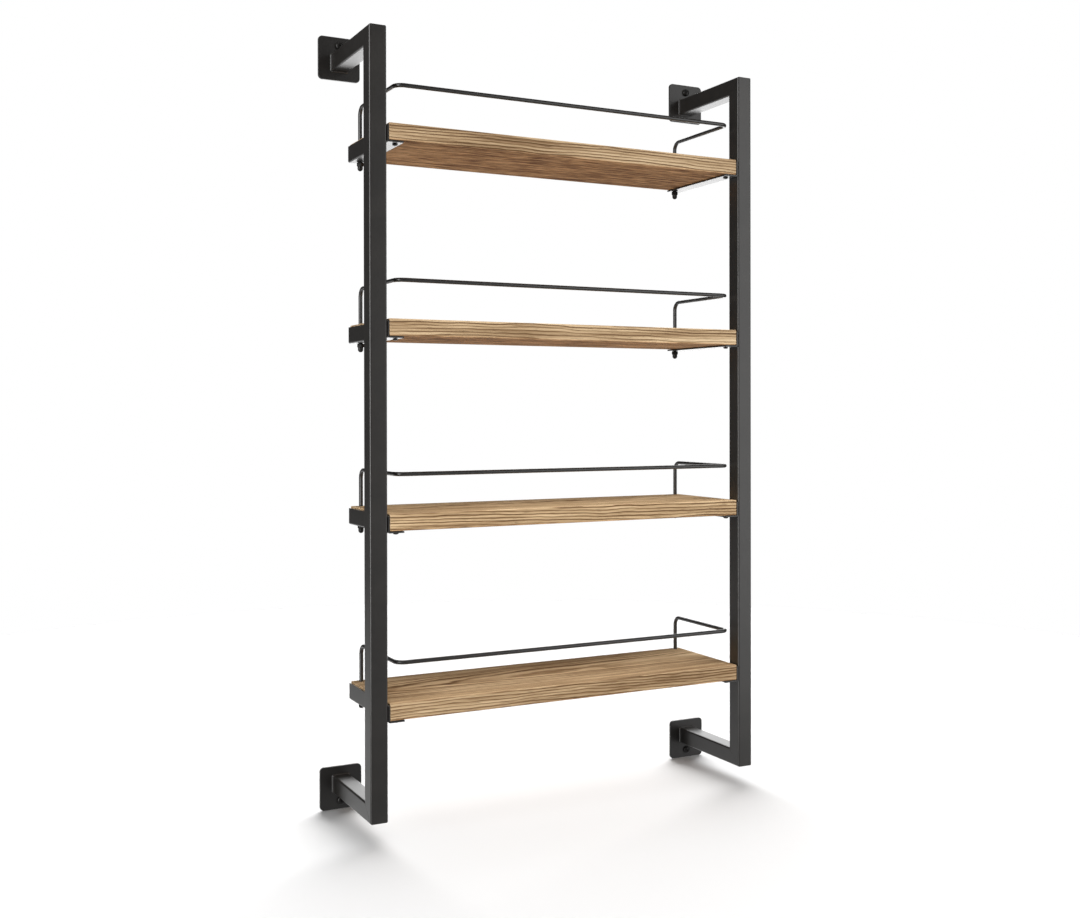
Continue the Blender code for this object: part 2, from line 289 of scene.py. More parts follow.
def rounded_rect(width, height, radius, steps=CORNER_STEPS, cuts=1):
    """(u, v) points of a rectangle about the origin with round corners, anticlockwise."""
    arcs = []
    for index, (side_u, side_v) in enumerate([(1, 1), (-1, 1), (-1, -1), (1, -1)]):
        centre = Vector((side_u * (width / 2 - radius), side_v * (height / 2 - radius)))
        angles = [math.pi / 2 * index + a for a in quarter_turn(steps)]
        arcs.append([centre + radius * Vector((math.cos(a), math.sin(a))) for a in angles])
    points = []
    for arc, following in zip(arcs, arcs[1:] + arcs[:1]):
        points += arc
        points += [arc[-1].lerp(following[0], i / cuts) for i in range(1, cuts)]
    return points


def outward(outline):
    """Unit normals of an anticlockwise (u, v) outline."""
    count = len(outline)
    along = [outline[(i + 1) % count] - outline[i - 1] for i in range(count)]
    return [Vector((step.y, -step.x)).normalized() for step in along]


def ease_steps(size):
    """(inset, depth) pairs that round off an edge, from the face to the side."""
    return [(size * (1 - math.sin(a)), size * (1 - math.cos(a)))
            for a in quarter_turn(EASE_STEPS)]


def circle(radius, z, sides):
    """Points about Z. The radius is a number or a function of the angle; zero gives one point."""
    if radius == 0:
        return [Vector((0, 0, z))]
    angles = [math.tau * i / sides for i in range(sides)]
    sizes = [radius(a) if callable(radius) else radius for a in angles]
    return [Vector((r * math.cos(a), r * math.sin(a), z)) for r, a in zip(sizes, angles)]


def skin(rings, closed=False):
    """A bmesh through rings of points. An open skin's end rings are filled; a closed one's meet."""
    bm = bmesh.new()
    loops = [[bm.verts.new(point) for point in ring] for ring in rings]
    pairs = list(zip(loops, loops[1:]))
    if closed:
        pairs.append((loops[-1], loops[0]))
    for first, second in pairs:
        count = max(len(first), len(second))
        for i in range(count):
            j = (i + 1) % count
            corners = (first[i % len(first)], first[j % len(first)],
                       second[j % len(second)], second[i % len(second)])
            bm.faces.new(list(dict.fromkeys(corners)))
    if not closed:
        for loop in (loops[0], loops[-1]):
            if len(loop) > 2:
                bm.faces.new(loop)
    bmesh.ops.recalc_face_normals(bm, faces=bm.faces)
    return bm


def to_mesh(name, bm, material=None, sharp_angle=SHARP_ANGLE):
    """A smooth shaded mesh with its sharp edges marked."""
    mesh = bpy.data.meshes.new(name)
    bm.to_mesh(mesh)
    bm.free()
    if material:
        mesh.materials.append(material)
    mesh.shade_smooth()
    mesh.set_sharp_from_angle(angle=math.radians(sharp_angle))
    return mesh


def link(name, data):
    """An object in the scene with the given mesh, light or camera."""
    made = bpy.data.objects.new(name, data)
    bpy.context.scene.collection.objects.link(made)
    return made


def worked(mesh, cutters, ease=0.0):
    """The mesh with the cutter meshes taken away and its sharp edges rounded."""
    blank = link("blank", mesh)
    tools = [link("cutter", cutter) for cutter in cutters]
    for tool in tools:
        cut = blank.modifiers.new("cut", "BOOLEAN")
        cut.operation = "DIFFERENCE"
        cut.object = tool
    if ease:
        bevel = blank.modifiers.new("ease", "BEVEL")
        bevel.width = ease
        bevel.segments = BEVEL_SEGMENTS
        bevel.limit_method = "ANGLE"
        bevel.angle_limit = math.radians(BEVEL_ANGLE)
    graph = bpy.context.evaluated_depsgraph_get()
    result = bpy.data.meshes.new_from_object(blank.evaluated_get(graph))
    result.name = mesh.name
    result.shade_smooth()
    result.set_sharp_from_angle(angle=math.radians(SHARP_ANGLE))
    for used in [blank] + tools:
        bpy.data.objects.remove(used)
    return result


def hole_cutter(x, y, z0, z1, radius):
    """A round bar along Z that cuts a hole."""
    rings = [[point + Vector((x, y, 0)) for point in circle(radius, z, HOLE_SIDES)]
             for z in (z0, z1)]
    return to_mesh("hole", skin(rings))


def add_piece(name, mesh, node=None, location=(0, 0, 0), turn=(0, 0, 0), flat=False):
    """Put a mesh on the rack, in place of its CAD node. Flat pieces keep flat faces' normals."""
    piece = link(name, mesh)
    piece.location = location
    piece.rotation_euler = [math.radians(angle) for angle in turn]
    if flat:
        piece.modifiers.new("flat_faces", "WEIGHTED_NORMAL").keep_sharp = True
    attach(piece, "root")
    if node:
        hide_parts(node)
    return piece


def middle(node):
    """The centre of a CAD node's box."""
    low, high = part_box(node)
    return (low + high) / 2


# ---------------------------------------------------------------- node trees

def add_node(tree, kind, values=None, **settings):
    """A shader node with its settings and inputs. An input is a number, a colour or a socket."""
    made = tree.nodes.new("ShaderNode" + kind)
    for name, value in settings.items():
        setattr(made, name, value)
    for name, value in (values or {}).items():
        if isinstance(value, bpy.types.NodeSocket):
            tree.links.new(value, made.inputs[name])
        else:
            made.inputs[name].default_value = value
    return made


def math_node(tree, operation, first, second=0.0):
    return add_node(tree, "Math", {0: first, 1: second}, operation=operation).outputs[0]


def scaled(tree, vector, factors):
    return add_node(tree, "VectorMath", {0: vector, 1: factors},
                    operation="MULTIPLY").outputs[0]


def noise_node(tree, vector, scale, detail, roughness):
    return add_node(tree, "TexNoise", {"Vector": vector, "Scale": scale, "Detail": detail,
                                       "Roughness": roughness}).outputs["Fac"]


def grain_noise(tree, place, form):
    """A noise that is stretched along the grain. A form is its scales, detail and roughness."""
    scales, detail, roughness = form
    return noise_node(tree, scaled(tree, place, scales), 1.0, detail, roughness)


def ramp(tree, factor, stops):
    """A colour ramp of (position, colour) stops."""
    made = add_node(tree, "ValToRGB", {"Fac": factor})
    elements = made.color_ramp.elements
    while len(elements) < len(stops):
        elements.new(0.5)
    for element, (position, colour) in zip(elements, stops):
        element.position = position
        element.color = (*colour, 1.0)
    return made.outputs["Color"]


def between(tree, factor, low, high, start=0.0, end=1.0):
    """A number that runs from low to high as factor runs from start to end."""
    return add_node(tree, "MapRange", {"Value": factor, "From Min": start, "From Max": end,
                                       "To Min": low, "To Max": high}).outputs["Result"]


def mixed(tree, factor, first, second):
    """A mix of two colours."""
    return add_node(tree, "Mix", {0: factor, 6: first, 7: second}, data_type="RGBA").outputs[2]


def new_material(name):
    material = bpy.data.materials.new(name)
    material.use_nodes = True
    tree = material.node_tree
    return material, tree, tree.nodes["Principled BSDF"]


def connect(tree, shader, **sockets):
    """Links sockets to the shader's inputs, which are named with _ for a space."""
    for name, socket in sockets.items():
        tree.links.new(socket, shader.inputs[name.replace("_", " ")])


def edge_highlight(tree, noise_value, amounts):
    """How strongly rounded edges take a painted highlight, which varies with a noise between two
    amounts.
    """
    return math_node(tree, "MULTIPLY", edge_mask(tree),
                     between(tree, noise_value, *amounts, *HIGHLIGHT_NOISE_RANGE))


def edge_mask(tree):
    """1 on rounded edges and corners of a piece whose faces lie along its axes, 0 on its faces."""
    normal = add_node(tree, "TexCoord").outputs["Normal"]
    axes = add_node(tree, "SeparateXYZ", {"Vector": normal})
    sizes = [math_node(tree, "ABSOLUTE", axes.outputs[axis]) for axis in "XYZ"]
    widest = math_node(tree, "MAXIMUM", math_node(tree, "MAXIMUM", sizes[0], sizes[1]), sizes[2])
    return between(tree, widest, 1.0, 0.0, EDGE_FROM, EDGE_TO)


# ----------------------------------------------------------------- materials

def black_coat(name, look, edge_highlight_colour=None, **fixed):
    """Black coating on steel: faint mottling, uneven gloss, orange peel and a painted highlight on
    rounded edges.

    fixed holds the shader's plain values, with _ for a space.
    """
    dark, light, roughness, peel_size, peel_depth = look
    material, tree, shader = new_material(name)
    place = add_node(tree, "TexCoord").outputs["Object"]
    mottle = noise_node(tree, place, *MOTTLE)
    haze = noise_node(tree, place, *HAZE)
    peel = noise_node(tree, place, 1.0 / peel_size, *PEEL)
    colour = ramp(tree, mottle, list(zip(MOTTLE_STOPS, (dark, light))))
    gloss = between(tree, haze, roughness - HAZE_SWING, roughness + HAZE_SWING)
    if edge_highlight_colour:
        # painted highlight: rounded edges are mixed towards a lighter colour and made a little
        # smoother
        highlight_amount = edge_highlight(tree, mottle, STEEL_HIGHLIGHT_AMOUNT)
        colour = mixed(tree, highlight_amount, colour, (*edge_highlight_colour, 1.0))
        gloss = math_node(tree, "SUBTRACT", gloss, math_node(tree, "MULTIPLY", highlight_amount, EDGE_GLOSS))
    bump = add_node(tree, "Bump", {"Height": peel, "Strength": 1.0, "Distance": peel_depth})
    connect(tree, shader, Base_Color=colour, Roughness=gloss, Normal=bump.outputs["Normal"])
    for socket, value in fixed.items():
        shader.inputs[socket.replace("_", " ")].default_value = value
    return material


def growth_rings(tree, place):
    """Distance from the pith in rings, bent by the slow wander of the trunk."""
    wander = grain_noise(tree, place, WANDER)
    flow = grain_noise(tree, place, FLOW)
    axes = add_node(tree, "SeparateXYZ", {"Vector": place})
    across = math_node(tree, "SUBTRACT", axes.outputs["Y"], PITH_BACK)
    below = math_node(tree, "ADD", axes.outputs["Z"], PITH_BELOW)
    span = add_node(tree, "CombineXYZ", {"X": across, "Y": below}).outputs[0]
    radius = add_node(tree, "VectorMath", {0: span}, operation="LENGTH").outputs["Value"]
    radius = math_node(tree, "ADD", radius, math_node(tree, "MULTIPLY", wander, RING_WANDER))
    radius = math_node(tree, "ADD", radius, math_node(tree, "MULTIPLY", flow, RING_FLOW))
    return math_node(tree, "DIVIDE", radius, RING_SPACING)


def board_wood(name, seed, tint):
    """Brown softwood with growth rings, streaks, fibres and pores, a painted shade on its underside
    and a painted highlight on its rounded edges.
    """
    material, tree, shader = new_material(name)
    local = add_node(tree, "TexCoord").outputs["Object"]
    turn = [math.radians(first + step * seed) for first, step in GRAIN_TURNS]
    shift = [step * seed for step in GRAIN_SHIFTS]
    place = add_node(tree, "Mapping", {"Vector": local, "Location": shift,
                                       "Rotation": turn}).outputs["Vector"]
    count = growth_rings(tree, place)
    phase = math_node(tree, "FRACT", count)
    ring = ramp(tree, phase, RING_PROFILE)
    ring_place = add_node(tree, "CombineXYZ", {"X": math_node(tree, "FLOOR", count),
                                               "Y": RING_VARIETY_STEP * seed}).outputs[0]
    strength = noise_node(tree, ring_place, *RING_VARIETY)
    strength = between(tree, strength, *RING_STRENGTH, *RING_STRENGTH_RANGE)
    ring = math_node(tree, "MULTIPLY", ring, strength)

    streak = grain_noise(tree, place, STREAK)
    fibre = grain_noise(tree, place, FIBRE)
    cloud = grain_noise(tree, place, CLOUD)
    height = add_node(tree, "SeparateXYZ", {"Vector": local}).outputs["Z"]
    underside = between(tree, height, 0.0, 1.0, UNDERSIDE_TOP, UNDERSIDE_FULL)
    fleck = between(tree, grain_noise(tree, place, FLECK), -FLECK_TONE, FLECK_TONE, *NOISE_RANGE)
    fleck = math_node(tree, "MULTIPLY", fleck, underside)
    grown = math_node(tree, "MULTIPLY", ring, between(tree, underside, RING_TONE, UNDERSIDE_RING_TONE))
    tone = math_node(tree, "ADD", math_node(tree, "ADD", grown, fleck), BASE_TONE)
    for layer, weight in ((streak, STREAK_TONE), (fibre, FIBRE_TONE), (cloud, CLOUD_TONE)):
        tone = math_node(tree, "ADD", tone, between(tree, layer, 0.0, weight, *NOISE_RANGE))
    colour = ramp(tree, tone, [(position, [a * b for a, b in zip(shade, tint)])
                               for position, shade in WOOD_STOPS])
    # painted shade: the underside is tinted redder and darker
    underside_shaded = add_node(tree, "Mix", {0: underside, 6: colour, 7: UNDERSIDE_SHADE_COLOUR},
                      data_type="RGBA", blend_type="MULTIPLY")
    colour = underside_shaded.outputs[2]

    pores = between(tree, grain_noise(tree, place, PORES), 0.0, 1.0, *PORE_RANGE)
    colour = mixed(tree, math_node(tree, "MULTIPLY", pores, PORE_STRENGTH), colour, PORE_COLOUR)
    # painted highlight: the rounded edges are mixed towards a paler colour
    colour = mixed(tree, edge_highlight(tree, cloud, WOOD_HIGHLIGHT_AMOUNT), colour, WOOD_EDGE_HIGHLIGHT)

    relief = math_node(tree, "MULTIPLY", ring, RING_RELIEF)
    relief = math_node(tree, "ADD", relief, math_node(tree, "MULTIPLY", fibre, FIBRE_RELIEF))
    relief = math_node(tree, "SUBTRACT", relief, pores)
    bump = add_node(tree, "Bump", {"Height": relief, "Strength": GRAIN_BUMP,
                                   "Distance": GRAIN_DEPTH})
    connect(tree, shader, Base_Color=colour, Roughness=between(tree, streak, *WOOD_ROUGHNESS),
            Normal=bump.outputs["Normal"])
    shader.inputs["Specular IOR Level"].default_value = WOOD_SPECULAR
    return material


# -------------------------------------------------------------------- welds

def bead(stations, closed, size):
    """A rippled weld in a corner. A station is (corner, one wall's direction, the other's)."""
    corners = [station[0] for station in stations]
    travelled, rings = 0.0, []
    for index, (corner, first, second) in enumerate(stations):
        if index:
            travelled += (corner - corners[index - 1]).length
        ring = [corner - BEAD_ROOT * size * (first + second)]
        for step in range(BEAD_STEPS + 1):
            share = step / BEAD_STEPS
            swell = math.sin(math.pi * share)
            phase = math.tau * travelled / RIPPLE_PITCH + RIPPLE_LAG * swell
            leg = size * (1 + RIPPLE_HEIGHT * math.sin(phase))
            ring.append(corner + leg * (first * (1 - share) + second * share)
                        + BEAD_CROWN * leg * swell * (first + second))
        rings.append(ring)
    return skin(rings, closed)


def weld_rod(start, end, radius):
    """A straight rippled bead with round ends."""
    along = end - start
    side = along.orthogonal().normalized()
    other = along.cross(side).normalized()
    rings = []
    count = round(along.length / RIPPLE_PITCH * BEAD_STEPS)
    for i in range(count + 1):
        ripple = 1 + RIPPLE_HEIGHT * math.sin(math.tau * i / BEAD_STEPS)
        share = i / count
        size = radius * ripple * min(1, BEAD_ROUNDING * min(share, 1 - share)) ** 0.5
        if size == 0:
            rings.append([start + along * share])
            continue
        angles = [math.tau * j / SEAM_SIDES for j in range(SEAM_SIDES)]
        rings.append([start + along * share + size * (side * math.cos(a) + other * math.sin(a))
                      for a in angles])
    return skin(rings)


# --------------------------------------------------------------- side frames

def square_tube(name, size, length, far_slope, material):
    """Hollow tube along +Z with a mitred near end. A mitred end is longest at -Y."""
    def ring(inset, z, slope):
        outline = rounded_rect(size - 2 * inset, size - 2 * inset, TUBE_CORNER - inset)
        return [Vector((u, v, z + slope * (v + size / 2))) for u, v in outline]

    rings = [ring(inset, depth, 1) for inset, depth in ease_steps(MITRE_EASE)]
    rings += [ring(inset, length - depth, far_slope)
              for inset, depth in reversed(ease_steps(MITRE_EASE))]
    rings += [ring(TUBE_WALL, length, far_slope), ring(TUBE_WALL, 0, 1)]
    return to_mesh(name, skin(rings, closed=True), material)


def mitre_seam(size, material):
    """The dressed weld round a mitre, in the tube's own frame."""
    reach = size - 2 * SEAM_RADIUS
    outline = rounded_rect(reach, reach, TUBE_CORNER - SEAM_RADIUS)
    across = Vector((0, -1, 1)).normalized()
    rings = []
    for (u, v), side in zip(outline, outward(outline)):
        centre = Vector((u, v, v + size / 2))
        out = Vector((side.x, side.y, side.y))
        out.normalize()
        rings.append([centre + SEAM_RADIUS * (out * math.cos(a) + across * math.sin(a))
                      for a in (math.tau * j / SEAM_SIDES for j in range(SEAM_SIDES))])
    return to_mesh("mitre_seam", skin(rings, closed=True), material)


def plate_weld(size, length, material):
    """The fillet weld round an arm's end, in the arm's own frame."""
    outline = rounded_rect(size, size, TUBE_CORNER, CORNER_STEPS, PLATE_WELD_CUTS)
    stations = [(Vector((u, v, length)), Vector((side.x, side.y, 0)), Vector((0, 0, -1)))
                for (u, v), side in zip(outline, outward(outline))]
    return to_mesh("plate_weld", bead(stations, True, PLATE_WELD), material, WELD_SHARP_ANGLE)


def corner_weld(size, material):
    """The fillet weld inside a mitred corner, in the arm's own frame."""
    reach = size / 2 - TUBE_CORNER
    stations = [(Vector((reach * (2 * i / CORNER_WELD_CUTS - 1), size / 2, size)),
                 Vector((0, 1, 0)), Vector((0, 0, 1))) for i in range(CORNER_WELD_CUTS + 1)]
    return to_mesh("corner_weld", bead(stations, False, CORNER_WELD), material,
                   WELD_SHARP_ANGLE)


def wall_plate(size, thickness, hole_v, material):
    """A plate in the XZ plane with eased edges and one hole, centred on the origin."""
    outline = rounded_rect(size, size, PLATE_CORNER, CORNER_STEPS, PLATE_CUTS)
    hole = Vector((0, hole_v))
    rays = [(point - hole).normalized() for point in outline]
    steps = ease_steps(PLATE_EASE)

    def edge_ring(inset, y):
        eased = rounded_rect(size - 2 * inset, size - 2 * inset, PLATE_CORNER - inset,
                             CORNER_STEPS, PLATE_CUTS)
        return [Vector((u, y, v)) for u, v in eased]

    def hole_ring(inset, y):
        reach = PLATE_HOLE_RADIUS + inset
        return [Vector((hole.x + reach * ray.x, y, hole.y + reach * ray.y)) for ray in rays]

    front, back = -thickness / 2, thickness / 2
    rings = [hole_ring(inset, front + depth) for inset, depth in steps]
    rings += [hole_ring(inset, back - depth) for inset, depth in reversed(steps)]
    rings += [edge_ring(inset, back - depth) for inset, depth in steps]
    rings += [edge_ring(inset, front + depth) for inset, depth in reversed(steps)]
    return to_mesh("wall_plate", skin(rings, closed=True), material)


def build_side_frames(paint, plate_shaded_paint):
    """Uprights, arms, wall plates and their welds, which are alike on both sides."""
    low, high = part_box("left_upright")
    size = high.x - low.x
    front = low.y
    base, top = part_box("left_bottom_arm")[0].z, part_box("left_top_arm")[1].z
    plate_low, plate_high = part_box("left_top_wall_plate")
    arm_length = plate_low.y - front
    plate_size = plate_high.x - plate_low.x
    plate_middle = middle("left_top_wall_plate")
    hole_v = middle("left_top_wall_screw").z - plate_middle.z
    upright = square_tube("upright", size, top - base, -1, paint)
    arm = square_tube("arm", size, arm_length, 0, paint)
    seam = mitre_seam(size, paint)
    end_weld = plate_weld(size, arm_length, paint)
    inner_weld = corner_weld(size, paint)
    for side in SIDES:
        x = middle(f"{side}_upright").x
        add_piece(f"{side}_upright_tube", upright, f"{side}_upright",
                  (x, front + size / 2, base), flat=True)
        for end, z_sign in ENDS.items():
            name = f"{side}_{end}"
            turn = (-90, 0 if z_sign > 0 else 180, 0)
            place = (x, front, middle(f"{name}_arm").z)
            add_piece(f"{name}_arm_tube", arm, f"{name}_arm", place, turn, flat=True)
            add_piece(f"{name}_mitre_seam", seam, None, place, turn)
            add_piece(f"{name}_plate_weld", end_weld, None, place, turn)
            add_piece(f"{name}_corner_weld", inner_weld, None, place, turn)
            plate = wall_plate(plate_size, plate_high.y - plate_low.y, z_sign * hole_v,
                               plate_shaded_paint)
            add_piece(f"{name}_plate", plate, f"{name}_wall_plate",
                      middle(f"{name}_wall_plate"), flat=True)


# -------------------------------------------------------------------- screws

def thread_rings(start, end, core, crest, pitch, sides):
    """Rings of a screw thread from z = start to z = end, fading in and out at its ends."""
    count = max(2, round(abs(end - start) / pitch * THREAD_STEPS))
    rings = []
    for i in range(count + 1):
        share = i / count
        z = start + (end - start) * share
        depth = (crest - core) * min(1, THREAD_FADE * share, THREAD_FADE * (1 - share))
        rings.append(circle(lambda a: core + depth * tooth(z / pitch - a / math.tau), z, sides))
    return rings


def tooth(turns):
    """Height of a V thread, from 0 at its root to 1 at its crest."""
    return 1 - abs(2 * (turns % 1) - 1)


def cross_cutter(radius, top, depth):
    """A tapered cross that a screwdriver fits, from z = -top down into the head."""
    def ring(reach, width, z):
        quarter = [(reach, -width), (reach, width), (width, width)]
        points = []
        for turn in range(4):
            a = math.pi / 2 * turn
            points += [Vector((u * math.cos(a) - v * math.sin(a),
                               u * math.sin(a) + v * math.cos(a), z)) for u, v in quarter]
        return points

    levels = ((CROSS_MOUTH, -top - CROSS_OVERRUN), (CROSS_TOP, -top), (CROSS_END, depth - top))
    return to_mesh("cross", skin([ring(reach * radius, width * radius, z)
                                  for (reach, width), z in levels]))


def pan_head_screw(name, form, length, material):
    """A domed head below Z = 0 with a cross recess, and a pointed threaded shank above it."""
    head_radius, head_height, shank_radius, pitch = form
    rim = SCREW_RIM_SHARE * head_height
    dome = [(head_radius * math.sin(a), -rim - (head_height - rim) * math.cos(a))
            for a in quarter_turn(DOME_STEPS)]
    soft = SCREW_SOFT_SHARE * head_radius
    profile = dome + [(head_radius, -soft), (head_radius - soft, 0), (shank_radius, 0),
                      (SCREW_NECK[0] * shank_radius, SCREW_NECK[1] * pitch)]
    rings = [circle(radius, z, SCREW_SIDES) for radius, z in profile]
    point_start = length - SCREW_POINT_RATIO * shank_radius
    core = SCREW_CORE * shank_radius
    rings += thread_rings(SCREW_THREAD_START * pitch, point_start, core, shank_radius, pitch,
                          SCREW_SIDES)
    rings += [circle(core * share, point_start + (length - point_start) * (1 - share), SCREW_SIDES)
              for share in SCREW_POINT_STEPS]
    rings.append(circle(0, length, SCREW_SIDES))
    blank = to_mesh(name, skin(rings), material)
    return worked(blank, [cross_cutter(head_radius, head_height, CROSS_DEPTH * head_height)])


def build_wall_screws(steel):
    """One screw through each wall plate, its head in front."""
    low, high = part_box("left_top_wall_screw")
    length = high.y - low.y - WALL_SCREW[1]
    screw = pan_head_screw("wall_screw", WALL_SCREW, length, steel)
    for side in SIDES:
        for end in ENDS:
            node = f"{side}_{end}_wall_screw"
            centre = middle(node)
            add_piece(f"{node}_threaded", screw, node,
                      (centre.x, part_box(node)[1].y - length, centre.z), (-90, 0, 0))


def hex_radius(angle, flats):
    """Distance from a hexagon's centre to its outline."""
    from_flat = (angle + math.pi / 6) % (math.pi / 3) - math.pi / 6
    return flats / 2 / math.cos(from_flat)


def cap_nut(height, material):
    """A chamfered hexagon with a round dome below it and a threaded blind bore, top at Z = 0."""
    corner = hex_radius(math.pi / 6, NUT_FLATS)

    def hexagon(share, z):
        limit = corner + (NUT_FLATS / 2 - corner) * share
        return circle(lambda a: min(hex_radius(a, NUT_FLATS), limit), z, NUT_SIDES)

    flat_end = height - NUT_DOME_RADIUS
    rings = [circle(0, -NUT_BORE_DEPTH, NUT_SIDES)]
    rings += thread_rings(-NUT_BORE_DEPTH, -NUT_MOUTH, NUT_BORE_RADIUS - NUT_THREAD_DEPTH,
                          NUT_BORE_RADIUS, THREAD_PITCH, NUT_SIDES)
    rings.append(circle(NUT_BORE_RADIUS + NUT_THREAD_DEPTH, 0, NUT_SIDES))
    rings.append(circle(NUT_FLATS / 2 - NUT_FACE_INSET, 0, NUT_SIDES))
    rings += [hexagon(share, -NUT_CHAMFER * depth) for share, depth in NUT_CHAMFER_STEPS]
    rings += [hexagon(share, -NUT_HEX_HEIGHT + NUT_CHAMFER * depth)
              for share, depth in reversed(NUT_CHAMFER_STEPS)]
    rings += [circle(NUT_DOME_RADIUS + NUT_NECK * (1 - math.sin(a)),
                     -NUT_HEX_HEIGHT - NUT_NECK * (1 - math.cos(a)), NUT_SIDES)
              for a in quarter_turn(NECK_STEPS)[1:]]
    rings += [circle(NUT_DOME_RADIUS * math.cos(a), -flat_end - NUT_DOME_RADIUS * math.sin(a),
                     NUT_SIDES) for a in quarter_turn(DOME_STEPS)[:-1]]
    rings.append(circle(0, -height, NUT_SIDES))
    return to_mesh("cap_nut", skin(rings), material)


# ------------------------------------------------------------------- shelves

def sweep(points, radii, sides):
    """A round bar through points. A radius is a number or a function of the angle."""
    steps = [(b - a).normalized() for a, b in zip(points, points[1:])]
    tangents = [steps[0]] + [(a + b).normalized() for a, b in zip(steps, steps[1:])] + [steps[-1]]
    side = tangents[0].orthogonal().normalized()
    rings = []
    for point, tangent, radius in zip(points, tangents, radii):
        side = (side - tangent * side.dot(tangent)).normalized()
        other = tangent.cross(side)
        ring = []
        for i in range(sides):
            a = math.tau * i / sides
            reach = radius(a) if callable(radius) else radius
            ring.append(point + reach * (side * math.cos(a) + other * math.sin(a)))
        rings.append(ring)
    return skin(rings)


def rail_bend(centre, start, end):
    """Points of a quarter circle about centre, turning from the direction start to end."""
    return [centre + RAIL_BEND * (start * math.cos(a) + end * math.sin(a))
            for a in quarter_turn(BEND_STEPS)]


def guard_rail(box, foot, material):
    """One bent wire in place: posts, sides and front, with a threaded end below each post."""
    low, high = box
    across, back, up = Vector((1, 0, 0)), Vector((0, 1, 0)), Vector((0, 0, 1))
    reach, front = high.x - WIRE_RADIUS, low.y + WIRE_RADIUS
    rear, top = high.y - WIRE_RADIUS, high.z - WIRE_RADIUS
    half = [Vector((0, front, top))]
    half += rail_bend(Vector((reach - RAIL_BEND, front + RAIL_BEND, top)), -back, across)
    half += rail_bend(Vector((reach, rear - RAIL_BEND, top - RAIL_BEND)), up, back)
    half += [Vector((reach, rear, z)) for z in (foot + SHOULDER_HEIGHT, foot)]
    radii = [WIRE_RADIUS] * len(half)

    thread_end = low.z + THREAD_TIP
    count = round((foot - thread_end) / THREAD_PITCH * THREAD_STEPS)
    for i in range(1, count + 1):
        z = foot - (foot - thread_end) * i / count
        half.append(Vector((reach, rear, z)))
        radii.append(lambda a, turns=i / THREAD_STEPS:
                     THREAD_RADIUS - THREAD_DEPTH * tooth(turns - a / math.tau))
    half.append(Vector((reach, rear, low.z)))
    radii.append(THREAD_RADIUS - THREAD_DEPTH - THREAD_TIP / 2)

    mirrored = [Vector((-point.x, point.y, point.z)) for point in reversed(half[1:])]
    bar = sweep(mirrored + half, radii[:0:-1] + radii, WIRE_SIDES)
    return to_mesh("guard_rail", bar, material)


def angle_bracket(name, box, side, holes, material):
    """A steel angle in place: its leg at the board's end and its flange under the board."""
    low, high = box
    reach, wall = high.z - low.z, ANGLE_THICKNESS
    outline = [(wall * (1 - math.cos(a)), wall * (1 - math.sin(a)))
               for a in quarter_turn(HEEL_STEPS)]
    outline += [(high.x - low.x, 0), (high.x - low.x, wall)]
    outline += [(wall + ANGLE_ROOT * (1 - math.sin(a)), wall + ANGLE_ROOT * (1 - math.cos(a)))
                for a in quarter_turn(ROOT_STEPS)]
    outline += [(wall, reach), (0, reach)]
    heel = low.x if side < 0 else high.x
    rings = [[Vector((heel - side * u, y, low.z + v)) for u, v in outline]
             for y in (low.y, high.y)]
    cutters = [hole_cutter(x, y, low.z - HOLE_OVERRUN, low.z + 2 * wall, radius)
               for x, y, radius in holes]
    return worked(to_mesh(name, skin(rings), material), cutters, ANGLE_EASE)


def board(name, box, seed, holes, material):
    """A board about its own centre, with eased edges and sawn faces that wander slightly."""
    low, high = box
    size = high - low
    rings = []
    ends = ease_steps(BOARD_EASE)
    spans = [(inset, -size.x / 2 + depth) for inset, depth in ends]
    spans += [(0, size.x * (i / BOARD_CUTS - 0.5)) for i in range(1, BOARD_CUTS)]
    spans += [(inset, size.x / 2 - depth) for inset, depth in reversed(ends)]
    for inset, x in spans:
        ring = []
        for u, v in board_section(size, inset):
            place = Vector((x, u, v)) * Vector(BOARD_WAVES)
            place.x += BOARD_NOISE_STEP * seed
            dip = BOARD_UNEVEN * (1 + noise.noise(place))
            ring.append(Vector((x, u * (1 - dip / size.y), v * (1 - dip / size.z))))
        rings.append(ring)
    cutters = [hole_cutter(x, y, z0, z1, radius) for x, y, z0, z1, radius in holes]
    return worked(to_mesh(name, skin(rings), material), cutters)


def board_section(size, inset):
    """(y, z) outline of a board with long sides divided finely and short sides coarsely."""
    plain = rounded_rect(size.y - 2 * inset, size.z - 2 * inset, BOARD_EASE, EASE_STEPS)
    points = []
    for index, point in enumerate(plain):
        points.append(point)
        following = plain[(index + 1) % len(plain)]
        gap = following - point
        if gap.length > 2 * BOARD_EASE:
            divisions = BOARD_FACE_CUTS if abs(gap.x) > abs(gap.y) else BOARD_EDGE_CUTS
            points += [point.lerp(following, i / divisions) for i in range(1, divisions)]
    return points


